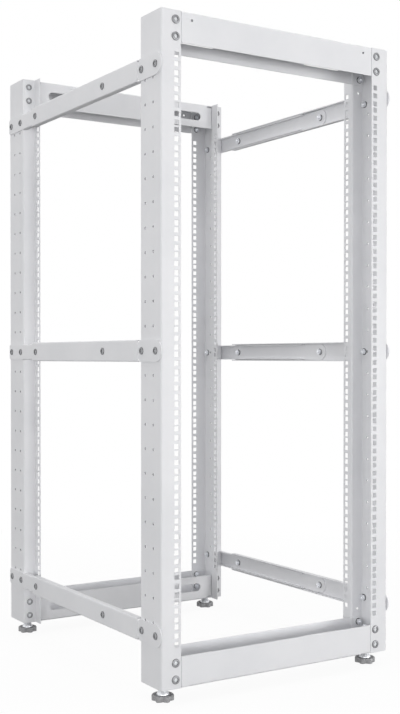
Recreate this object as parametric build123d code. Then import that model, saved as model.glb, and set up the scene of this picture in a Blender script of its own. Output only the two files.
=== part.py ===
from build123d import *
import os

os.makedirs("parts", exist_ok=True)

# Four post open frame rack, 24 units high, in millimetres.
# Origin on the floor at the centre, X to the right, Y towards the back, Z up.

# Overall frame
rack_width = 530.0
rack_depth = 679.0
post_height = 1213.0
floor_gap = 28.0

# Bent sheet
sheet = 2.0
bend_radius = 1.5
joint_gap = 0.2
seam_gap = 0.4

# Posts, measured inwards from the side face and back from the rail face
rail_face_width = 41.5
post_depth = 75.0
lip_offset = 28.0
lip_depth = 25.0

# Square equipment holes
units_high = 24
unit_pitch = 44.45
unit_hole_offsets = [6.35, 22.225, 38.1]
square_hole = 9.5
face_hole_line = 32.45

# Small round accessory holes in the post sides, beside the middle rail
side_hole_diameter = 5.0
side_hole_line = 28.0

# Cross beams
beam_leg = 56.5
beam_tab_inset = 6.0
beam_tab_relief = 6.0
beam_joggle_length = 1.2
beam_end_gap = 1.0
marker_hole_diameter = 5.0
marker_hole_from_seam = 22.5
marker_hole_from_end = 14.0
front_slot_rise = 25.0
rear_slot_rise = 30.5
beam_slot_height = 19.0
beam_slot_length = 100.0
beam_slot_from_lip = 32.0

# Telescoping side rails
side_rail_height = 40.0
side_rail_flange = 12.0
side_rail_bend = 0.5
side_rail_overhang = 4.0
side_rail_rise = 510.5
side_rail_joggle = 1.2
outer_rail_end = 548.0
inner_rail_start = 198.0
inner_flange_start = 273.0
inner_rail_inset = 2.0
nesting_gap = 1.0
flange_setback = 0.5
relief_width = 4.0
relief_depth = 4.0
plate_corner = 4.0

# Levelling feet
foot_from_side = 25.0
foot_from_face = 37.0
pad_core_diameter = 37.5
pad_height = 11.0
pad_lobes = 6
pad_lobe_diameter = 11.0
pad_lobe_circle = 30.0
stud_diameter = 10.0
stud_rise = 48.0
stud_hole_gap = 0.5
foot_nut_flats = 17.0
foot_nut_height = 6.0
foot_cone_diameter = 24.0
foot_cone_height = 8.0

# Derived planes
half_width = rack_width / 2
front_y = -(rack_depth - side_rail_overhang) / 2
rear_y = front_y + rack_depth
middle_y = (front_y + rear_y) / 2
post_bottom = floor_gap
post_top = post_bottom + post_height
middle_z = (post_bottom + post_top) / 2
first_unit = middle_z - units_high * unit_pitch / 2
seam_x = half_width - rail_face_width - seam_gap
joggle = sheet + joint_gap
tongue_x = -half_width - joint_gap
channel_x = tongue_x - sheet - joggle
flange_end_x = channel_x + side_rail_flange


def bent_strip(corners, radii, side):
    """Closed face of a bent sheet whose one side follows the corners."""
    path = FilletPolyline(*corners, radius=radii)
    return make_face(offset(path, amount=sheet, side=side).edges())


def joggled_strip(corners, side):
    """Closed face of a sheet with a sharp offset, whose one side follows the corners."""
    path = Polyline(*corners)
    return make_face(offset(path, amount=sheet, side=side, kind=Kind.INTERSECTION).edges())


def plan_extrude(face, low, high):
    """Solid from a face drawn in plan, between two heights."""
    return Pos(0, 0, low) * extrude(face, amount=high - low)


def block(x_span, y_span, z_span):
    """Box between pairs of coordinates."""
    low = Vector(x_span[0], y_span[0], z_span[0])
    high = Vector(x_span[1], y_span[1], z_span[1])
    size = high - low
    corner = (Align.MIN, Align.MIN, Align.MIN)
    return Pos(low.X, low.Y, low.Z) * Box(size.X, size.Y, size.Z, align=corner)


def unit_hole_heights():
    """Heights of the square holes, three to each unit."""
    return [
        first_unit + unit * unit_pitch + offset_up
        for unit in range(units_high)
        for offset_up in unit_hole_offsets
    ]


def make_post():
    """Front left post: one bent strip with its hole column."""
    side_x = -half_width
    lip_x = side_x + lip_offset
    corners = [
        (side_x + rail_face_width, front_y),
        (side_x, front_y),
        (side_x, front_y + post_depth),
        (lip_x, front_y + post_depth),
        (lip_x, front_y + post_depth + lip_depth),
    ]
    outside = bend_radius + sheet
    strip = bent_strip(corners, [outside, outside, bend_radius], Side.RIGHT)
    post = plan_extrude(strip, post_bottom, post_top)

    square_cut = Box(square_hole, 3 * sheet, square_hole)
    side_cut = Rot(0, 90, 0) * Cylinder(side_hole_diameter / 2, 3 * sheet)
    face_x = side_x + face_hole_line
    cuts = [Pos(face_x, front_y, z) * square_cut for z in unit_hole_heights()]
    for z in (middle_z - unit_pitch, middle_z + unit_pitch):
        cuts.append(Pos(side_x, front_y + side_hole_line, z) * side_cut)
    return post - cuts


def leg_end(leg_x, leg_y, tab_end_x, inward, side):
    """Joggled end of a beam leg, in plan, that laps behind a post flange."""
    tab_y = leg_y + inward * joggle
    corners = [
        (leg_x - beam_joggle_length - sheet, leg_y),
        (leg_x - beam_joggle_length, leg_y),
        (leg_x, tab_y),
        (tab_end_x, tab_y),
    ]
    strip = joggled_strip(corners, side)
    return plan_extrude(strip, post_bottom + beam_tab_relief, post_bottom + beam_leg)


def make_beam(footed, slot_rise):
    """Bottom front beam: a slotted channel with lapped tabs, and stud or marker holes."""
    back_y = front_y + post_depth
    outside = bend_radius + sheet
    section = bent_strip(
        [
            (front_y, post_bottom + beam_leg),
            (front_y, post_bottom),
            (back_y, post_bottom),
            (back_y, post_bottom + beam_leg),
        ],
        [outside, outside],
        Side.LEFT,
    )
    span = seam_x - beam_joggle_length
    upright = Plane(origin=(-span, 0, 0), x_dir=(0, 1, 0), z_dir=(1, 0, 0))
    beam = extrude(upright * section, amount=2 * span)

    tab_end_x = half_width - sheet - beam_tab_inset
    lip_seam_x = half_width - lip_offset - sheet - seam_gap
    half = leg_end(seam_x, front_y, tab_end_x, 1, Side.LEFT)
    half += leg_end(lip_seam_x, back_y, tab_end_x, -1, Side.RIGHT)
    leg_z = (post_bottom + beam_tab_relief, post_bottom + beam_leg)
    half += block((span, lip_seam_x - beam_joggle_length), (back_y - sheet, back_y), leg_z)
    web_end_x = half_width - sheet - beam_end_gap
    web_y = (front_y + joggle + sheet, back_y - joggle - sheet)
    half += block((span, web_end_x), web_y, (post_bottom, post_bottom + sheet))

    if footed:
        stud_x = half_width - foot_from_side
        stud_cut = Cylinder(stud_diameter / 2 + stud_hole_gap, 3 * sheet)
        half -= Pos(stud_x, front_y + foot_from_face, post_bottom) * stud_cut
    beam = beam + half + mirror(half, about=Plane.YZ)

    slot_x = lip_seam_x - beam_slot_from_lip - beam_slot_length / 2
    slot_face = Plane.XZ * SlotOverall(beam_slot_length, beam_slot_height)
    slot = extrude(slot_face, amount=2 * sheet, both=True)
    marker_cut = Rot(90, 0, 0) * Cylinder(marker_hole_diameter / 2, 3 * sheet)
    marker_x = seam_x - marker_hole_from_seam
    for way in (-1, 1):
        beam -= Pos(way * slot_x, back_y, post_bottom + slot_rise) * slot
        if not footed:
            marker_z = post_bottom + marker_hole_from_end
            beam -= Pos(way * marker_x, front_y, marker_z) * marker_cut
    return beam


def channel_section(height, outer_x):
    """Channel of a side rail, open towards the rack."""
    outside = side_rail_bend + sheet
    return bent_strip(
        [
            (flange_end_x, height / 2),
            (outer_x, height / 2),
            (outer_x, -height / 2),
            (flange_end_x, -height / 2),
        ],
        [outside, outside],
        Side.LEFT,
    )


def run_channel(section, start_y, end_y, z):
    """Carry a rail section from front to back."""
    across = Plane(origin=(0, start_y, z), x_dir=(1, 0, 0), z_dir=(0, -1, 0))
    return extrude(across * section, amount=-(end_y - start_y))


def make_outer_rail(z):
    """Left rail, front piece: rounded tongue, joggle and open channel."""
    start_y = front_y - side_rail_overhang
    bend_y = front_y + post_depth + flange_setback
    joggle_y = bend_y + relief_width
    end_y = front_y + outer_rail_end
    section = channel_section(side_rail_height, channel_x)
    rail = run_channel(section, joggle_y + side_rail_joggle, end_y, z)

    strip = joggled_strip(
        [
            (tongue_x, start_y),
            (tongue_x, joggle_y),
            (channel_x + sheet, joggle_y + side_rail_joggle),
            (channel_x + sheet, joggle_y + 2 * side_rail_joggle),
        ],
        Side.LEFT,
    )
    half = side_rail_height / 2
    tongue = plan_extrude(strip, z - half, z + half)
    relief_z = half - relief_depth
    for low, high in ((-half, -relief_z), (relief_z, half)):
        relief_y = (bend_y, joggle_y + 2 * side_rail_joggle)
        tongue -= block((channel_x - sheet, -half_width), relief_y, (z + low, z + high))
    rounding = tongue.edges().filter_by(Axis.X).group_by(Axis.Y)[0]
    tongue = fillet(rounding, half - joint_gap)
    return rail + tongue


def make_inner_rail(z):
    """Left rail, rear piece: it nests in the front piece and laps the rear post."""
    height = side_rail_height - 2 * sheet - 2 * nesting_gap
    half = height / 2
    start_y = front_y + inner_rail_start
    channel_start_y = front_y + inner_flange_start
    channel_end_y = rear_y - post_depth - flange_setback
    end_y = rear_y - inner_rail_inset
    section = channel_section(height, tongue_x - sheet)
    rail = run_channel(section, channel_start_y, channel_end_y, z)

    flat_x = (tongue_x - sheet, tongue_x)
    tongue = block(flat_x, (start_y, channel_start_y), (z - half, z + half))
    rounding = tongue.edges().filter_by(Axis.X).group_by(Axis.Y)[0]
    tongue = fillet(rounding, half - joint_gap)
    plate = block(flat_x, (channel_end_y, end_y), (z - half, z + half))
    corners = plate.edges().filter_by(Axis.X).group_by(Axis.Y)[-1]
    plate = chamfer(corners, plate_corner)
    return rail + tongue + plate


def make_foot_pad(x, y):
    """Levelling pad with a lobed rim, one lobe in line with the rack's depth."""
    lobe = Circle(pad_lobe_diameter / 2)
    lobes = PolarLocations(pad_lobe_circle / 2, pad_lobes, start_angle=90) * lobe
    outline = Circle(pad_core_diameter / 2) + lobes
    return Pos(x, y, 0) * extrude(outline, amount=pad_height)


def make_foot_stud(x, y):
    """Levelling stud with its cone base and the nut that bears on the beam."""
    base = (Align.CENTER, Align.CENTER, Align.MIN)
    cone = Cone(foot_cone_diameter / 2, stud_diameter / 2, foot_cone_height, align=base)
    nut = extrude(RegularPolygon(foot_nut_flats / 2, 6, major_radius=False), amount=foot_nut_height)
    nut_z = floor_gap - foot_nut_height - joint_gap
    rod = Cylinder(stud_diameter / 2, post_bottom + stud_rise - pad_height, align=base)
    stud = Pos(0, 0, pad_height) * cone + Pos(0, 0, nut_z) * nut + Pos(0, 0, pad_height) * rod
    return Pos(x, y, 0) * stud


def save(shape, name):
    """Write one node."""
    shape.label = name
    export_step(shape, f"parts/{name}.step")


side_plane = Plane.YZ
depth_plane = Plane.XZ.offset(-middle_y)
height_plane = Plane.XY.offset(middle_z)

front_left = make_post()
front_right = mirror(front_left, about=side_plane)
save(front_left, "post_front_left")
save(front_right, "post_front_right")
save(mirror(front_left, about=depth_plane), "post_rear_left")
save(mirror(front_right, about=depth_plane), "post_rear_right")

for end, slot_rise in (("front", front_slot_rise), ("rear", rear_slot_rise)):
    bottom = make_beam(True, slot_rise)
    top = mirror(make_beam(False, slot_rise), about=height_plane)
    if end == "rear":
        bottom = mirror(bottom, about=depth_plane)
        top = mirror(top, about=depth_plane)
    save(bottom, f"beam_{end}_bottom")
    save(top, f"beam_{end}_top")

levels = {
    "bottom": middle_z - side_rail_rise,
    "middle": middle_z,
    "top": middle_z + side_rail_rise,
}
for level, height in levels.items():
    outer = make_outer_rail(height)
    inner = make_inner_rail(height)
    save(outer, f"side_rail_left_{level}_front")
    save(inner, f"side_rail_left_{level}_rear")
    save(mirror(outer, about=side_plane), f"side_rail_right_{level}_front")
    save(mirror(inner, about=side_plane), f"side_rail_right_{level}_rear")

foot_x = half_width - foot_from_side
foot_places = {
    "front_left": (-foot_x, front_y + foot_from_face),
    "front_right": (foot_x, front_y + foot_from_face),
    "rear_left": (-foot_x, rear_y - foot_from_face),
    "rear_right": (foot_x, rear_y - foot_from_face),
}
for place, (x, y) in foot_places.items():
    save(make_foot_pad(x, y), f"foot_pad_{place}")
    save(make_foot_stud(x, y), f"foot_stud_{place}")
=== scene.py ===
import math
import bpy
import numpy as np
from mathutils import Euler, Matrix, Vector


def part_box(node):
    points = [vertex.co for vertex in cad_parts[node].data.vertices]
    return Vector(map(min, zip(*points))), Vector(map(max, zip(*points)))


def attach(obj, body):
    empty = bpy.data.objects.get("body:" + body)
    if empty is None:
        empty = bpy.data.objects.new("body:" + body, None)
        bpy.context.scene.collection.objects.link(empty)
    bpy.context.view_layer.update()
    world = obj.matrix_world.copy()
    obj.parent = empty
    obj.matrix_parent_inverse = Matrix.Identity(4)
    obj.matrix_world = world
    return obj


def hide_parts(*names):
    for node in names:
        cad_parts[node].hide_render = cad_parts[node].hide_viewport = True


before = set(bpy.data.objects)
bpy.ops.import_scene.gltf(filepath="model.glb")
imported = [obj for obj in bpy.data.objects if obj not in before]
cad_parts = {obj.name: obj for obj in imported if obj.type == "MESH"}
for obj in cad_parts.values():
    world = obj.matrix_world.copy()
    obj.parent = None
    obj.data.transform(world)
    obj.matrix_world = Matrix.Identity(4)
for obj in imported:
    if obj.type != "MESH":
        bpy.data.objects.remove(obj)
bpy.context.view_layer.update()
mm = 0.001        # sizes below are in millimetres, and become metres when a mesh is made
smoothBelow = 35  # degrees; steeper edges stay sharp
print("frame loaded, nodes:", len(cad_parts))

# Where the frame stands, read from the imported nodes
postLow, postHigh = (np.array(corner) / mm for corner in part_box("post_front_left"))
sideX = postLow[0]                            # outer face of the left posts
frontY = postLow[1]                           # face that carries the equipment, in front
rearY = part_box("post_rear_right")[1][1] / mm  # and at the rear
postBottom, postTop = postLow[2], postHigh[2]
middleY = (frontY + rearY) / 2
middleZ = (postBottom + postTop) / 2
corners = {
    "front_left": (1, 1),
    "front_right": (-1, 1),
    "rear_left": (1, -1),
    "rear_right": (-1, -1),
}  # sign across the width and along the depth, from the front left corner


# Shapes as arrays

def makePiece(name, points, faces, finishes, slotName):
    # Points in millimetres and a list of face arrays become one mesh object at the origin.
    mesh = bpy.data.meshes.new(name)
    loops = np.concatenate([block.ravel() for block in faces]).astype(np.int32)
    counts = np.concatenate([np.full(len(block), block.shape[1]) for block in faces]).astype(np.int32)
    loopStarts = np.concatenate([[0], np.cumsum(counts)[:-1]]).astype(np.int32)
    mesh.vertices.add(len(points))
    mesh.vertices.foreach_set("co", (points * mm).astype(np.float32).ravel())
    mesh.loops.add(len(loops))
    mesh.loops.foreach_set("vertex_index", loops)
    mesh.polygons.add(len(counts))
    mesh.polygons.foreach_set("loop_start", loopStarts)
    mesh.polygons.foreach_set("loop_total", counts)
    mesh.update(calc_edges=True)
    mesh.validate()
    for finish in finishes:
        mesh.materials.append(finish)
    piece = bpy.data.objects.new(name, mesh)
    bpy.context.collection.objects.link(piece)
    shadeByAngle(mesh, smoothBelow)
    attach(piece, "root")
    return piece


def shadeByAngle(mesh, angle):
    # Smooth shading that stays sharp over edges steeper than the angle.
    mesh.shade_smooth()
    mesh.set_sharp_from_angle(angle=math.radians(angle))


def settle(piece, angle):
    # The live modifiers are worked out once and kept as the piece's own mesh.
    graph = bpy.context.evaluated_depsgraph_get()
    finished = bpy.data.meshes.new_from_object(piece.evaluated_get(graph))
    piece.modifiers.clear()
    piece.data = finished
    shadeByAngle(finished, angle)


def ringSurface(radii, heights, around):
    # Surface of rings: a point stands at radius r(ring, turn) and height h(ring), and both ends close
    # in one pole each. The rings run from the lower pole to the upper one.
    turn = np.arange(around) / around * 2 * np.pi
    radii = np.broadcast_to(np.asarray(radii, float), (len(heights), around))
    heights = np.broadcast_to(np.asarray(heights, float).reshape(len(heights), -1), radii.shape)
    ring = np.stack([radii * np.cos(turn), radii * np.sin(turn), heights], axis=-1).reshape(-1, 3)
    poles = np.array([[0, 0, heights[0].mean()], [0, 0, heights[-1].mean()]])
    points = np.concatenate([ring, poles])
    row, column = np.meshgrid(np.arange(len(heights) - 1), np.arange(around), indexing="ij")
    after = (column + 1) % around
    below, above = row * around, (row + 1) * around
    quads = np.stack([below + column, below + after, above + after, above + column], axis=-1)
    step = np.arange(around)
    following = (step + 1) % around
    lowPole = np.full(around, len(ring))
    lastRing = (len(heights) - 1) * around
    lowCap = np.stack([lowPole, following, step], axis=-1)
    topCap = np.stack([lowPole + 1, lastRing + step, lastRing + following], axis=-1)
    return points, quads.reshape(-1, 4), np.concatenate([lowCap, topCap])


def hexRadius(acrossFlats, around):
    # Distance from the centre to a hexagon's side: half the flats over the cosine of the turn
    # from the nearest flat's middle.
    turn = np.arange(around) / around * 2 * np.pi
    fromFlat = (turn + np.pi / 6) % (np.pi / 3) - np.pi / 6
    return acrossFlats / 2 / np.cos(fromFlat)


def turnedTo(direction):
    # Frame whose first axis is up and whose third is the given level direction, as three columns.
    third = np.array(direction, float)
    first = np.array([0.0, 0.0, 1.0])
    second = np.cross(third, first)
    return np.stack([first, second, third], axis=1)


def scattered(shape, places, directions, sizes):
    # One shape set at every place in that place's size, its height axis turned to the direction there.
    points, quads, caps = shape
    frames = np.stack([turnedTo(direction) * size for direction, size in zip(directions, sizes)])
    moved = np.einsum("nij,kj->nki", frames, points) + np.asarray(places)[:, None, :]
    shift = (np.arange(len(places)) * len(points))[:, None, None]
    return moved.reshape(-1, 3), [(quads + shift).reshape(-1, 4), (caps + shift).reshape(-1, 3)]


# Finishes. Each noise is its scale, detail and roughness, and each bump its strength and depth in metres.

patchEnds = (0.3, 0.7)  # a finish goes from one gloss to the other over this middle of its noise


def newFinish(name):
    finish = bpy.data.materials.new(name)
    finish.use_nodes = True
    nodes, links = finish.node_tree.nodes, finish.node_tree.links
    shader = nodes["Principled BSDF"]
    place = nodes.new("ShaderNodeTexCoord")
    return finish, nodes, links, shader, place.outputs["Object"]


def noiseNode(nodes, links, where, scale, detail, roughness):
    noise = nodes.new("ShaderNodeTexNoise")
    noise.inputs["Scale"].default_value = scale
    noise.inputs["Detail"].default_value = detail
    noise.inputs["Roughness"].default_value = roughness
    links.new(where, noise.inputs["Vector"])
    return noise.outputs["Fac"]


def rampNode(nodes, links, value, ends, colours):
    # One colour below the first end, the other above the second, and a blend between them.
    ramp = nodes.new("ShaderNodeValToRGB")
    for element, position, colour in zip(ramp.color_ramp.elements, ends, colours):
        element.position = position
        element.color = (*colour, 1)
    links.new(value, ramp.inputs["Fac"])
    return ramp.outputs["Color"]


def setGloss(nodes, links, shader, patches, levels):
    # Roughness follows the patches between the two levels.
    greys = [(level, level, level) for level in levels]
    links.new(rampNode(nodes, links, patches, patchEnds, greys), shader.inputs["Roughness"])


def addBump(nodes, links, height, shader, strength, distance, under=None):
    bump = nodes.new("ShaderNodeBump")
    bump.inputs["Strength"].default_value = strength
    bump.inputs["Distance"].default_value = distance
    links.new(height, bump.inputs["Height"])
    if under is not None:
        links.new(under, bump.inputs["Normal"])
    links.new(bump.outputs["Normal"], shader.inputs["Normal"])
    return bump.outputs["Normal"]


coat = {
    "thin": (0.755, 0.760, 0.780),   # where the powder lies thinner
    "full": (0.800, 0.802, 0.820),
    "thinToFull": (0.30, 0.62),      # on the clouds' scale
    "clouds": (7.0, 4, 0.6),
    "patches": (35.0, 5, 0.65),
    "peel": (620.0, 2, 0.5),         # orange peel about a millimetre and a half across
    "grain": (2600.0, 2, 0.5),       # fine texture of the powder
    "peelBump": (0.35, 0.00012),
    "grainBump": (0.25, 0.00003),
    "gloss": (0.42, 0.56),           # roughness between the glossiest and dullest patches
    "specular": 0.4,
}


def powderCoat():
    # Light grey powder coat: soft clouds in colour and gloss, orange peel and a finer grain on top.
    finish, nodes, links, shader, where = newFinish("powderCoat")
    clouds = noiseNode(nodes, links, where, *coat["clouds"])
    colour = rampNode(nodes, links, clouds, coat["thinToFull"], (coat["thin"], coat["full"]))
    links.new(colour, shader.inputs["Base Color"])
    setGloss(nodes, links, shader, noiseNode(nodes, links, where, *coat["patches"]), coat["gloss"])
    peel = noiseNode(nodes, links, where, *coat["peel"])
    grain = noiseNode(nodes, links, where, *coat["grain"])
    under = addBump(nodes, links, peel, shader, *coat["peelBump"])
    addBump(nodes, links, grain, shader, *coat["grainBump"], under)
    shader.inputs["Specular IOR Level"].default_value = coat["specular"]
    return finish


zinc = {
    "dark": (0.44, 0.45, 0.47),      # these two times the copy's painted light or shade
    "bright": (0.64, 0.65, 0.67),
    "darkToBright": (0.32, 0.58),    # on the grain's scale
    "grain": (420.0, 3, 0.6),
    "patches": (210.0, 2, 0.5),
    "grainBump": (0.2, 0.00003),
    "gloss": (0.32, 0.48),
    "paintedLightAndShade": {                      # painted light or shade of each copy, and how much of it is bare metal
        # domes and tapped walls darkened: painted shade
        "zincPlate": (0.48, 0.6),
        # near black: painted shade at the rims, socket walls and washers
        "zincRimPaintedShade": (0.13, 0.6),
        # bright: painted highlight on the socket floors
        "zincSocketPaintedHighlight": (1.20, 0.6),
        # pale: painted light on the nuts, bolt ends and feet
        "zincPalePaintedLight": (1.45, 0.55),
    },
}


def zincPlate(name):
    # Zinc over turned steel: small dull and bright patches with a faint tooling grain.
    finish, nodes, links, shader, where = newFinish(name)
    shade, metallic = zinc["paintedLightAndShade"][name]
    grain = noiseNode(nodes, links, where, *zinc["grain"])
    # each copy's colours are the zinc's, scaled by its painted light or shade
    colours = [tuple(shade * level for level in zinc[tone]) for tone in ("dark", "bright")]
    colour = rampNode(nodes, links, grain, zinc["darkToBright"], colours)
    links.new(colour, shader.inputs["Base Color"])
    setGloss(nodes, links, shader, noiseNode(nodes, links, where, *zinc["patches"]), zinc["gloss"])
    addBump(nodes, links, grain, shader, *zinc["grainBump"])
    shader.inputs["Metallic"].default_value = metallic
    return finish


plastic = {
    "fresh": (0.31, 0.31, 0.32),
    "worn": (0.40, 0.40, 0.41),
    "freshToWorn": (0.35, 0.68),     # on the wear's scale
    "wear": (90.0, 4, 0.6),
    "grain": (900.0, 3, 0.5),
    "grainBump": (0.4, 0.00008),
    "gloss": (0.62, 0.42),           # roughness where it is fresh and where it is rubbed
}


def padPlastic():
    # Moulded grey plastic with a spark-eroded grain, a little paler and glossier where it is rubbed.
    finish, nodes, links, shader, where = newFinish("padPlastic")
    wear = noiseNode(nodes, links, where, *plastic["wear"])
    colour = rampNode(nodes, links, wear, plastic["freshToWorn"], (plastic["fresh"], plastic["worn"]))
    links.new(colour, shader.inputs["Base Color"])
    setGloss(nodes, links, shader, wear, plastic["gloss"])
    grain = noiseNode(nodes, links, where, *plastic["grain"])
    addBump(nodes, links, grain, shader, *plastic["grainBump"])
    return finish


coatFinish = powderCoat()
zincPaintedShade = zincPlate("zincPlate")      # domes of the bolt heads and the tapped walls, darkened as painted shade
rimPaintedShade = zincPlate("zincRimPaintedShade")         # near-black painted shade: dark outlines at the rims of the heads, shaded socket walls and the washers
socketPaintedHighlight = zincPlate("zincSocketPaintedHighlight")   # painted highlight: bright spot on the floors of the sockets
paleZincPaintedLight = zincPlate("zincPalePaintedLight")         # painted light: nuts, bolt ends and feet made pale so they stay bright in shade
padFinish = padPlastic()
print("finishes made")


# Posts: one bent strip each, with every punched hole

post = {
    "sheet": 2.0,
    "face": 41.5,              # rail face, measured from the side
    "depth": 75.0,
    "flange": 28.0,            # centre flange
    "lip": 25.0,
    "outerBend": 3.5,          # radii of the outside line at the three bends
    "innerBend": 1.5,
    "bendSteps": 6,
    "units": 24,
    "unitPitch": 44.45,
    "squareOffsets": (6.35, 22.225, 38.1),
    "square": 9.5,
    "faceHoleLine": 32.45,     # from the side
    "lipHoleLine": 16.0,       # from the centre flange
    "roundHole": 5.0,
    "roundCell": 5.0,          # half width of the patch of sheet round a hole
    "sideHoleLines": (28.0, 57.0),
    "flangeHoleLine": 14.0,
    "holeSteps": 16,
    "edgeRound": 0.25,
    "roundAbove": 60,          # degrees; only edges steeper than this are rounded
    "smoothBelow": 30,
}


def flatStations(start, along, distances):
    # Points on a straight line: the start plus each distance times the direction.
    return np.array(start) + np.outer(distances, along)


def quarterBend(corner, entering, leaving, radius, steps):
    # Quarter circle that leaves one flat and meets the next: centre plus radius times cosine and sine.
    entering, leaving = np.array(entering, float), np.array(leaving, float)
    centre = np.array(corner) - radius * entering + radius * leaving
    turn = np.linspace(0, np.pi / 2, steps + 1)[1:-1]
    return centre - radius * np.outer(np.cos(turn), leaving) + radius * np.outer(np.sin(turn), entering)


def postStations():
    # The outside line of the strip in plan, as flats cut at the hole edges and joined by bends.
    bend, tight, half = post["outerBend"], post["innerBend"], post["square"] / 2
    face, flange, cell = post["face"], post["flange"], post["roundCell"]
    faceHole = face - post["faceHoleLine"]
    flangeHole, lipHole = post["flangeHoleLine"], post["lipHoleLine"]
    sideCuts = [line + way * cell for line in post["sideHoleLines"] for way in (-1, 1)]
    flangeY = frontY + post["depth"]
    flats = [
        ((sideX + face, frontY), (-1, 0), [0, faceHole - half, faceHole + half, face - bend]),
        ((sideX, frontY), (0, 1), [bend, *sideCuts, post["depth"] - bend]),
        ((sideX, flangeY), (1, 0), [bend, flangeHole - cell, flangeHole + cell, flange - tight]),
        ((sideX + flange, flangeY), (0, 1), [tight, lipHole - half, lipHole + half, post["lip"]]),
    ]  # each flat's start, its direction and the distances of its ends and cuts
    bends = [bend, bend, tight]
    stations, firsts = [], []
    for number, (start, along, distances) in enumerate(flats):
        firsts.append(sum(len(block) for block in stations))
        stations.append(flatStations(start, along, distances))
        if number < len(bends):
            corner, leaving, _ = flats[number + 1]
            stations.append(quarterBend(corner, along, leaving, bends[number], post["bendSteps"]))
    return np.concatenate(stations), flats, firsts


def postHeights():
    # Heights of the grid lines: the edges of all the square holes, and one patch beyond each end.
    half = post["square"] / 2
    base = middleZ - post["units"] * post["unitPitch"] / 2
    unit = base + np.arange(post["units"])[:, None, None] * post["unitPitch"]
    edges = unit + np.array(post["squareOffsets"])[None, :, None] + np.array([-half, half])
    edges = np.sort(edges.ravel())
    spread = np.array([post["squareOffsets"][0] - half, post["squareOffsets"][0] + half])
    top = base + post["units"] * post["unitPitch"]
    lines = np.concatenate([[postBottom], base - spread[::-1], edges, top + spread, [postTop]])
    return lines, edges[0::2], base


def sideHoleHeights(base):
    # A round hole at every line between two units.
    return base + np.arange(1, post["units"]) * post["unitPitch"]


def buildPost(name, across, along):
    # The strip is a surface of station and height. Cells inside square holes are left out, and round
    # holes are circles joined by triangles to the eight grid points of the patch they sit in, which
    # is one cell wide and three high.
    stations, flats, firsts = postStations()
    lines, squareLows, base = postHeights()
    rows = len(lines)
    kept = np.ones((len(stations) - 1, rows - 1), bool)
    squareRows = np.searchsorted(lines, squareLows)
    kept[firsts[0] + 1, squareRows] = False
    kept[firsts[3] + 1, squareRows] = False
    points = np.concatenate(
        [np.repeat(stations, rows, axis=0), np.tile(lines, len(stations))[:, None]], axis=1
    )

    # Each round hole's flat, the cut before it, its line along the flat and its height
    sideHoles = [(2 * number, line) for number, line in enumerate(post["sideHoleLines"])]
    endRows = base + np.array([0, post["units"]]) * post["unitPitch"]
    holes = [(1, cut, line, z) for cut, line in sideHoles for z in sideHoleHeights(base)]
    holes += [(2, 0, post["flangeHoleLine"], z) for z in endRows]
    steps = post["holeSteps"]
    turn = np.arange(steps) / steps * 2 * np.pi
    ring = np.stack([np.cos(turn), np.sin(turn)], axis=1) * post["roundHole"] / 2
    triangles = []
    for flat, cut, line, z in holes:
        column = firsts[flat] + 1 + cut
        row = np.searchsorted(lines, z) - 2
        kept[column, row:row + 3] = False
        right, left = (column + 1) * rows + row, column * rows + row
        outline = np.array([right + 2, right + 3, left + 3, left + 2, left + 1, left, right, right + 1])
        start, direction, _ = flats[flat]
        plan = flatStations(start, direction, line + ring[:, 0])
        circle = len(points) + np.arange(steps)
        points = np.concatenate([points, np.concatenate([plan, (z + ring[:, 1])[:, None]], axis=1)])
        owner = outline[np.arange(steps) * len(outline) // steps]
        triangles.append(np.stack([circle, owner, np.roll(circle, -1)], axis=1))
        turned = circle[::steps // len(outline)]
        triangles.append(np.stack([turned, np.roll(outline, 1), outline], axis=1))

    column, row = np.nonzero(kept)
    corner = column * rows + row
    quads = np.stack([corner, corner + rows, corner + rows + 1, corner + 1], axis=1)
    triangles = np.concatenate(triangles)
    if across * along > 0:
        quads, triangles = quads[:, ::-1], triangles[:, ::-1]
    points = points * [across, 1, 1]
    if along < 0:
        points = points * [1, -1, 1] + [0, 2 * middleY, 0]
    piece = makePiece(name, points, [quads, triangles], (coatFinish,), "powder_coat")
    wall = piece.modifiers.new("sheetThickness", "SOLIDIFY")
    wall.thickness = post["sheet"] * mm
    wall.offset = -1
    wall.use_even_offset = True
    edge = piece.modifiers.new("brokenEdges", "BEVEL")
    edge.width = post["edgeRound"] * mm
    edge.segments = 1
    edge.limit_method = "ANGLE"
    edge.angle_limit = math.radians(post["roundAbove"])
    settle(piece, post["smoothBelow"])
    return piece


for place, (across, along) in corners.items():
    punched = buildPost(f"post_{place}_punched", across, along)
    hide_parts(f"post_{place}")
print("posts made")


thread = {
    "bore": 2.35,          # inner radius of the tapped wall in a round side hole
    "seat": 2.6,           # its outer radius, just inside the sheet
    "ends": (0.3, 1.8),    # depths of its two ends under the outer face
    "around": 12,
}


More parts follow.
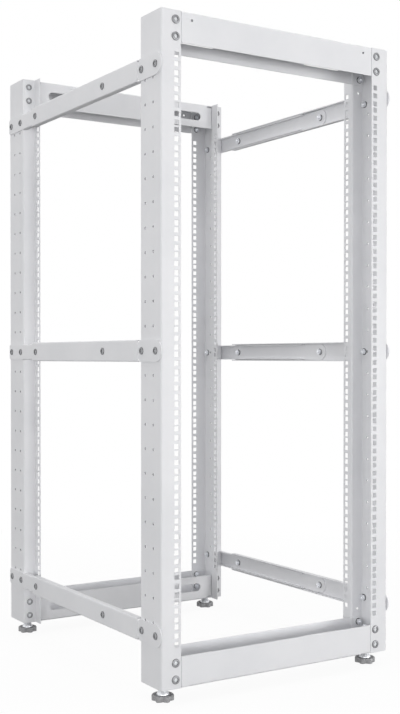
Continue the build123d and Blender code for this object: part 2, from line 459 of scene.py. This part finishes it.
def tappedWalls():
    # A square ring round each hole's axis: the section's four corners hold a radius and a depth each,
    # and are turned about the axis with cosine and sine.
    around = thread["around"]
    turn = np.arange(around) / around * 2 * np.pi
    near, far = thread["ends"]
    radii = np.array([thread["seat"], thread["seat"], thread["bore"], thread["bore"]])[:, None]
    depths = np.repeat(np.array([near, far, far, near])[:, None], around, axis=1)
    ring = np.stack([depths, radii * np.cos(turn), radii * np.sin(turn)], axis=-1).reshape(-1, 3)
    corner, step = np.meshgrid(np.arange(len(radii)), np.arange(around), indexing="ij")
    here, there = corner * around, (corner + 1) % len(radii) * around
    after = (step + 1) % around
    quads = np.stack([here + step, here + after, there + after, there + step], axis=-1).reshape(-1, 4)
    heights = sideHoleHeights(postHeights()[2])
    lines, heights = (grid.ravel() for grid in np.meshgrid(post["sideHoleLines"], heights))
    places = np.stack([np.full(len(lines), sideX), frontY + lines, heights], axis=1)
    points, faces, count = [], [], 0
    for across, along in corners.values():
        walls = (places[:, None] + ring).reshape(-1, 3) * [across, 1, 1]
        if along < 0:
            walls[:, 1] = 2 * middleY - walls[:, 1]
        turned = quads if across * along > 0 else quads[:, ::-1]
        shift = count + np.arange(len(places))[:, None, None] * len(ring)
        points.append(walls)
        faces.append((turned + shift).reshape(-1, 4))
        count += len(walls)
    return np.concatenate(points), [np.concatenate(faces)]


# the tapped walls take the darkened zinc: painted shade in the side holes
makePiece("side_hole_threads", *tappedWalls(), (zincPaintedShade,), "zinc_plate")
print("tapped holes made")

# The beams and side rails keep their own solids and take the coat on the object's own slots
for name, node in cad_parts.items():
    if name.startswith(("beam_", "side_rail_")):
        for holder in node.material_slots:
            holder.link = "OBJECT"
            holder.material = coatFinish
print("beams and side rails coated")


# Bolts and nuts

bolt = {
    "head": 16.0,              # diameter over the button head
    "rise": 2.5,
    "rim": 0.7,                # straight side under the dome, painted darker than the rest as painted shade
    "domeSteps": 5,
    "mouth": 10.4,             # flat ring round the socket starts here
    "socketFlats": 7.4,
    "socketDepth": 2.1,
    "socketEdge": (0.25, 0.3), # broken edge of the socket, across and down
    "around": 24,
    # heads: 0 is the near-black painted shade, 1 the darkened dome, 2 the socket floor's painted
    # highlight; nuts: 0 is the washer's painted shade, 1 the pale zinc's painted light
    "headRings": (0, 0, 1, 1, 1, 1, 1, 1, 0, 2),  # finish of each ring of faces from the seat out,
    "nutRings": (0, 0, 1, 1, 1, 1, 1, 1, 1, 1),   # and last of the far cap
    "washer": 13.5,
    "washerHeight": 1.0,
    "shank": 6.0,
    "nutFlats": 11.0,
    "nutHeight": 6.0,          # with the washer
    "nutCorner": 0.25,         # how far the corners pass the flats where the cone cuts them
    "nutCut": 0.4,             # height of that cut
    "nutMouth": (0.6, 0.3),    # countersink round the bolt, across and down
    "tail": 3.0,               # length of bolt past the nut
    "tailCut": 0.8,            # chamfer at its end
}


def boltHead():
    # Button head: straight rim, dome as a quarter ellipse, flat ring, then the wall of the hexagon
    # socket down to its flat floor.
    around = bolt["around"]
    dome = np.linspace(0, np.pi / 2, bolt["domeSteps"] + 1)[1:]
    mouth, half, rise = bolt["mouth"] / 2, bolt["head"] / 2, bolt["rise"]
    domeRadii = mouth + (half - mouth) * np.cos(dome)
    domeHeights = bolt["rim"] + (rise - bolt["rim"]) * np.sin(dome)
    socket = hexRadius(bolt["socketFlats"], around)
    edgeAcross, edgeDown = bolt["socketEdge"]
    floor = rise - bolt["socketDepth"]
    radii = np.concatenate([
        np.full((2, around), half),
        np.repeat(domeRadii[:, None], around, axis=1),
        [socket + edgeAcross, socket, socket],
    ])
    heights = np.concatenate([[0, bolt["rim"]], domeHeights, [rise, rise - edgeDown, floor]])
    return ringSurface(radii, heights, around)


def nutAndTail():
    # Washer in near-black zinc as painted shade, then a hexagon nut whose corners are cut by a cone at
    # both ends, with
    # the chamfered end of the bolt: each ring has the hexagon's radius, the same held under the cone's,
    # or a circle's.
    around = bolt["around"]
    six = hexRadius(bolt["nutFlats"], around)
    cut = np.minimum(six, bolt["nutFlats"] / 2 + bolt["nutCorner"])
    shank = bolt["shank"] / 2
    mouthAcross, mouthDown = bolt["nutMouth"]
    washer, mouth, rod, end = (
        np.full(around, radius)
        for radius in (bolt["washer"] / 2, shank + mouthAcross, shank, shank - bolt["tailCut"])
    )
    seat, top = bolt["washerHeight"], bolt["nutHeight"]
    tail = top + bolt["tail"]
    radii = np.stack([washer, washer, cut, six, six, cut, mouth, rod, rod, end])
    heights = [
        0, seat, seat, seat + bolt["nutCut"], top - bolt["nutCut"], top,
        top, top - mouthDown, tail - bolt["tailCut"], tail,
    ]
    return ringSurface(radii, heights, around)


def paintRings(piece, count, rings):
    # The rings of faces of every copy take their numbered finishes, and the far cap the last one.
    around = bolt["around"]
    quads = np.tile(np.repeat(rings[:-1], around), count)
    caps = np.tile(np.repeat((rings[0], rings[-1]), around), count)
    piece.data.polygons.foreach_set("material_index", np.concatenate([quads, caps]).astype(np.int32))


bolted = {
    "faceBoltIn": 30.0,        # beam bolts on the rail faces, from the side
    "flangeBoltIn": 14.0,      # beam bolts on the centre flanges, from the side
    "beamBoltRises": (16.8, 46.8),
    "endRailBolts": (17.0, 67.0, 615.0, 665.0),  # from the front, through rail and post
    "middleRailBolts": (216.0, 530.0),           # through the two halves of a rail
    "smallHead": 0.86,         # size of the other heads against those on the rail faces
    "lap": 0.2,                # gap between two pieces that are bolted together
}


def boltPlaces():
    # Every head's seat, direction and size, and the same for the nut on the inner side of the joint.
    heads, nuts = [], []
    sheet, lap, small = post["sheet"], bolted["lap"], bolted["smallHead"]
    rises = [postBottom + rise for rise in bolted["beamBoltRises"]]
    rises += [postTop - rise for rise in bolted["beamBoltRises"]]
    inside = 2 * sheet + lap
    for way in (-1, 1):  # left, then right
        faceX, flangeX = -way * (sideX + bolted["faceBoltIn"]), -way * (sideX + bolted["flangeBoltIn"])
        for z in rises:
            for y, outward in ((frontY, -1), (rearY, 1)):
                heads.append(((faceX, y, z), (0, outward, 0), 1))
                nuts.append(((faceX, y - outward * inside, z), (0, -outward, 0), 1))
                flangeY = y - outward * post["depth"]
                heads.append(((flangeX, flangeY, z), (0, -outward, 0), small))
                nuts.append(((flangeX, flangeY + outward * inside, z), (0, outward, 0), 1))
        for level in ("bottom", "middle", "top"):
            low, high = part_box(f"side_rail_left_{level}_front")
            z = (low[2] + high[2]) / 2 / mm
            channelX, tongueX = low[0] / mm, sideX - lap - sheet
            spans = [(y, tongueX, sideX + sheet) for y in bolted["endRailBolts"]]
            spans += [(y, channelX, sideX - lap) for y in bolted["middleRailBolts"]]
            for y, outer, inner in spans:
                heads.append(((-way * outer, frontY + y, z), (way, 0, 0), small))
                nuts.append(((-way * inner, frontY + y, z), (-way, 0, 0), 1))
    return heads, nuts


heads, nuts = boltPlaces()
headPoints, headFaces = scattered(boltHead(), *zip(*heads))
headFinishes = (rimPaintedShade, zincPaintedShade, socketPaintedHighlight)
# heads: painted shade at rims and socket walls, darkened domes, painted highlight on the socket floors
boltHeads = makePiece("bolt_heads", headPoints, headFaces, headFinishes, "zinc_plate")
paintRings(boltHeads, len(heads), bolt["headRings"])
nutPoints, nutFaces = scattered(nutAndTail(), *zip(*nuts))
# nuts: washers in painted shade, nuts and bolt ends in pale zinc as painted light
boltNuts = makePiece("bolt_nuts", nutPoints, nutFaces, (rimPaintedShade, paleZincPaintedLight), "zinc_plate")
paintRings(boltNuts, len(nuts), bolt["nutRings"])
print("bolts made:", len(heads))


# Levelling feet

foot = {
    "lobes": 6,
    "lobePower": 0.8,
    "core": 15.4,            # radius between the lobes, at the foot of the pad
    "upperCore": 20.3,       # the same at the top, where the lobes fade
    "reach": 20.5,           # radius at a lobe's tip
    "padHeight": 11.0,
    "padEdge": (0.9, 2.4),   # rounding of the lower and upper edge
    "edgeSteps": 4,
    "dishRadii": (14.6, 13.4, 12.4),
    "dishSinks": (0.0, 0.5, 0.7),
    "around": 96,
}


def lobedPad():
    # Radius swells from the core to each lobe's tip with the cosine of six times the turn, raised to
    # a power for rounder lobes, and the core widens with the square of the height. The edges are
    # quarter circles, and the top sinks slightly to the cone.
    around = foot["around"]
    turn = np.arange(around) / around * 2 * np.pi
    wave = (0.5 + 0.5 * np.cos(foot["lobes"] * (turn - np.pi / 2))) ** foot["lobePower"]
    arc = np.linspace(0, np.pi / 2, foot["edgeSteps"] + 1)
    (lower, upper), height = foot["padEdge"], foot["padHeight"]
    insets = np.concatenate([lower * (1 - np.sin(arc)), upper * (1 - np.cos(arc))])[:, None]
    heights = np.concatenate([lower * (1 - np.cos(arc)), height - upper + upper * np.sin(arc)])
    core = foot["core"] + (foot["upperCore"] - foot["core"]) * (heights[:, None] / height) ** 2
    radii = core + (foot["reach"] - core) * wave - insets
    dish = np.array(foot["dishRadii"])[:, None]
    radii = np.concatenate([radii, np.repeat(dish, around, axis=1)])
    heights = np.concatenate([heights, height - np.array(foot["dishSinks"])])
    return ringSurface(radii, heights, around)


stud = {
    "radius": 5.0,
    "threadDepth": 0.55,
    "threadPitch": 1.5,
    "threadSteps": 6,        # rings for each turn of the thread
    "tip": (0.9, 1.5),       # how far the top end narrows, and over what height
    "sink": 0.5,             # the rod starts this far inside the cone
    "around": 24,
    "coneFoot": 11.5,
    "coneTop": 6.5,
    "coneHeight": 10.0,
    "coneRim": 1.6,
    "conePower": 0.9,
    "coneSteps": 6,
    "nutFlats": 17.0,
    "nutHeight": 6.0,
    "nutCorner": 0.3,        # how far the corners pass the flats where the cone cuts them
    "nutCut": 0.7,
    "nutBite": 0.2,          # how far the nut's bore lies inside the rod
    "wideAround": 48,        # points round the cone and the nut
}


def threadedRod(low, high):
    # Radius falls by the thread's depth as a triangle wave of height less turn times pitch, and
    # narrows evenly over the tip.
    around = stud["around"]
    rings = int((high - low) / stud["threadPitch"] * stud["threadSteps"]) + 1
    height = np.linspace(low, high, rings)
    turn = np.arange(around) / around
    phase = (height[:, None] / stud["threadPitch"] - turn[None, :]) % 1
    wave = np.abs(2 * phase - 1)
    narrowing, tipHeight = stud["tip"]
    fade = np.clip((high - height) / tipHeight, 0, 1)[:, None]
    radii = stud["radius"] - stud["threadDepth"] * wave - narrowing * (1 - fade)
    return ringSurface(radii, height, around)


def coneBase():
    # Spun cone on the pad's dish: a short rim, then a flank whose radius goes from the foot's to the
    # top's with the share of height that is left, raised to a power just under one.
    base = foot["padHeight"] - foot["dishSinks"][-1]
    top = foot["padHeight"] + stud["coneHeight"]
    share = np.linspace(0, 1, stud["coneSteps"] + 1)
    radii = stud["coneTop"] + (stud["coneFoot"] - stud["coneTop"]) * (1 - share) ** stud["conePower"]
    heights = base + stud["coneRim"] + (top - base - stud["coneRim"]) * share
    radii = np.concatenate([[stud["coneFoot"]], radii])
    heights = np.concatenate([[base], heights])
    around = stud["wideAround"]
    return ringSurface(np.repeat(radii[:, None], around, axis=1), heights, around)


def footNut():
    # Hexagon nut with both faces cut by a cone, seated under the beam's web: each ring has the
    # hexagon's radius, the same held under the cone's, or the bore's.
    around, bevel = stud["wideAround"], stud["nutCut"]
    six = hexRadius(stud["nutFlats"], around)
    cut = np.minimum(six, stud["nutFlats"] / 2 + stud["nutCorner"])
    bore = np.full(around, stud["radius"] - stud["nutBite"])
    top = postBottom - bolted["lap"]
    base = top - stud["nutHeight"]
    radii = np.stack([bore, cut, six, six, cut, bore])
    return ringSurface(radii, [base, base, base + bevel, top - bevel, top, top], around)


def joined(*shapes):
    # Several shapes as one, each with its face numbers moved past the points before it.
    points, quads, caps, count = [], [], [], 0
    for shapePoints, shapeQuads, shapeCaps in shapes:
        points.append(shapePoints)
        quads.append(shapeQuads + count)
        caps.append(shapeCaps + count)
        count += len(shapePoints)
    return np.concatenate(points), [np.concatenate(quads), np.concatenate(caps)]


for place in corners:
    low, high = (np.array(corner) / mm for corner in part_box(f"foot_stud_{place}"))
    centre = np.array([(low[0] + high[0]) / 2, (low[1] + high[1]) / 2, 0])
    padPoints, padFaces = joined(lobedPad())
    pad = makePiece(f"pad_{place}_lobed", padPoints + centre, padFaces, (padFinish,), "pad_plastic")
    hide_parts(f"foot_pad_{place}")
    rod = threadedRod(foot["padHeight"] + stud["coneHeight"] - stud["sink"], high[2])
    studPoints, studFaces = joined(coneBase(), footNut(), rod)
    studName = f"stud_{place}_threaded"
    # studs, cones and foot nuts in pale zinc: painted light
    threaded = makePiece(studName, studPoints + centre, studFaces, (paleZincPaintedLight,), "zinc_plate")
    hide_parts(f"foot_stud_{place}")
print("feet made")


# Stage, light and camera, in metres and watts

def newMath(nodes, links, operation, *values):
    # Sum, product or the like of sockets and plain numbers.
    step = nodes.new("ShaderNodeMath")
    step.operation = operation
    for number, value in enumerate(values):
        if isinstance(value, float):
            step.inputs[number].default_value = value
        else:
            links.new(value, step.inputs[number])
    return step.outputs[0]


def rangeNode(nodes, links, value, reach, results):
    # A value that goes over the reach gives a number that goes from one result to the other.
    ranged = nodes.new("ShaderNodeMapRange")
    for name, level in zip(("From Min", "From Max", "To Min", "To Max"), (*reach, *results)):
        ranged.inputs[name].default_value = level
    links.new(value, ranged.inputs["Value"])
    return ranged.outputs["Result"]


def mixShaders(nodes, links, share, first, second):
    mix = nodes.new("ShaderNodeMixShader")
    for number, source in enumerate((share, first, second)):
        links.new(source, mix.inputs[number])
    return mix.outputs[0]


def pathMask(nodes, links):
    # One where a ray comes from the eye, a mirror or glass.
    path = nodes.new("ShaderNodeLightPath").outputs
    direct = newMath(nodes, links, "MAXIMUM", path["Is Camera Ray"], path["Is Glossy Ray"])
    return newMath(nodes, links, "MAXIMUM", direct, path["Is Transmission Ray"])


sky = {
    "tint": (0.996, 0.997, 1, 1),
    "ring": 0.92,             # light from all round, strongest at the horizon and none overhead
    "ahead": -0.36,           # less of it from the front, where the lamps stand, and more from the back
    "aheadWay": (0.05, -1.0, 0.0),
}


def makeWorld():
    # The eye sees plain white. The light is ring times (1 - z squared) plus ahead times the share of
    # the direction that points to the front, where z is the height of the unit direction.
    world = bpy.data.worlds.new("studio")
    bpy.context.scene.world = world
    world.use_nodes = True
    nodes, links = world.node_tree.nodes, world.node_tree.links
    shown, lighting = nodes["Background"], nodes.new("ShaderNodeBackground")
    shown.inputs["Color"].default_value = (1, 1, 1, 1)
    lighting.inputs["Color"].default_value = sky["tint"]
    way = nodes.new("ShaderNodeTexCoord").outputs["Object"]
    shares = []
    for axis in ((0, 0, 1), sky["aheadWay"]):
        along = nodes.new("ShaderNodeVectorMath")
        along.operation = "DOT_PRODUCT"
        links.new(way, along.inputs[0])
        along.inputs[1].default_value = axis
        shares.append(along.outputs["Value"])
    square = newMath(nodes, links, "MULTIPLY", shares[0], shares[0])
    ring = newMath(nodes, links, "MULTIPLY_ADD", square, -sky["ring"], sky["ring"])
    total = newMath(nodes, links, "MULTIPLY_ADD", shares[1], sky["ahead"], ring)
    links.new(newMath(nodes, links, "MAXIMUM", total, 0.0), lighting.inputs["Strength"])
    mask = pathMask(nodes, links)
    whole = mixShaders(nodes, links, mask, lighting.outputs[0], shown.outputs[0])
    links.new(whole, nodes["World Output"].inputs["Surface"])


ground = {
    "rings": (0.6, 1.2, 2.4, 9.0),
    "around": 64,
    "shadow": (0.06, 0),          # share of real shadow near the rack and far out
    "shadowReach": (0.5, 1.7),
    "bounce": (0.05, 0.12),       # how light the floor is for everything but the eye, near and far
    "bounceReach": (0.8, 2.5),
}


def floorFinish():
    # White to the eye with a share of real shadow near the rack, and grey for the light it gives back.
    finish = bpy.data.materials.new("paleFloor")
    finish.use_nodes = True
    nodes, links = finish.node_tree.nodes, finish.node_tree.links
    nodes.remove(nodes["Principled BSDF"])
    place = nodes.new("ShaderNodeTexCoord")
    length = nodes.new("ShaderNodeVectorMath")
    length.operation = "LENGTH"
    links.new(place.outputs["Object"], length.inputs[0])
    far = length.outputs["Value"]
    glow = nodes.new("ShaderNodeEmission")
    lit, giving = nodes.new("ShaderNodeBsdfDiffuse"), nodes.new("ShaderNodeBsdfDiffuse")
    glow.inputs["Color"].default_value = (1, 1, 1, 1)
    lit.inputs["Color"].default_value = (1, 1, 1, 1)
    given = rangeNode(nodes, links, far, ground["bounceReach"], ground["bounce"])
    links.new(given, giving.inputs["Color"])
    shade = rangeNode(nodes, links, far, ground["shadowReach"], ground["shadow"])
    seen = mixShaders(nodes, links, shade, glow.outputs[0], lit.outputs[0])
    whole = mixShaders(nodes, links, pathMask(nodes, links), giving.outputs[0], seen)
    links.new(whole, nodes["Material Output"].inputs["Surface"])
    return finish


def makeFloor():
    # Flat disc: rings of growing radius round the middle of the rack, at height nought.
    rings, around = np.array(ground["rings"]) / mm, ground["around"]
    radii = np.repeat(rings[:, None], around, axis=1)
    points, quads, caps = ringSurface(radii, np.zeros(len(rings)), around)
    mesh = bpy.data.meshes.new("floor")
    mesh.from_pydata(points * mm, [], [*quads.tolist(), *caps[:around].tolist()])
    mesh.materials.append(floorFinish())
    floor = bpy.data.objects.new("floor", mesh)
    bpy.context.collection.objects.link(floor)
    floor.data.flip_normals()


lamps = {
    "left": {"place": (-3.9, 1.0, 0.50), "aim": (0, 0, 0.55), "size": (1.4, 0.9), "power": 16},
    "corner": {"place": (-3.0, -2.7, 0.50), "aim": (0, 0, 0.50), "size": (1.8, 0.9), "power": 35},
    "front": {"place": (-0.35, -3.7, 0.45), "aim": (0, 0, 0.50), "size": (2.8, 0.85), "power": 29},
    "right": {"place": (2.15, -3.2, 0.50), "aim": (0, 0, 0.50), "size": (1.8, 1.0), "power": 47},
    "top": {"place": (-0.3, -0.4, 4.0), "aim": (0, 0, 1.0), "size": (2.0, 2.0), "power": 42},
}


def makeLamp(name, place, aim, size, power):
    # Rectangular softbox that looks at a point.
    light = bpy.data.lights.new(name, "AREA")
    light.shape = "RECTANGLE"
    light.size, light.size_y = size
    light.energy = power
    lamp = bpy.data.objects.new(name, light)
    lamp.location = place
    lamp.rotation_euler = (Vector(aim) - Vector(place)).to_track_quat("-Z", "Y").to_euler()
    bpy.context.collection.objects.link(lamp)


view = {
    "place": (-1.2696, -2.0430, 0.6230),
    "yaw": 32.10,                         # degrees to the right of straight back
    "down": 0.731,                        # degrees
    "lens": 56.334,                       # in millimetres, as is the sensor
    "sensor": 36,
    "shift": (0.01068, 0.02018),
}


def makeCamera():
    camera = bpy.data.cameras.new("camera")
    camera.lens = view["lens"]
    camera.sensor_width = view["sensor"]
    camera.shift_x, camera.shift_y = view["shift"]
    eye = bpy.data.objects.new("camera", camera)
    eye.location = view["place"]
    eye.rotation_euler = Euler((math.radians(90 - view["down"]), 0, math.radians(-view["yaw"])))
    bpy.context.collection.objects.link(eye)
    bpy.context.scene.camera = eye


makeWorld()
makeFloor()
for name, lamp in lamps.items():
    makeLamp(name, **lamp)
makeCamera()
bpy.context.scene.view_settings.view_transform = "Standard"
print("stage, light and camera made")
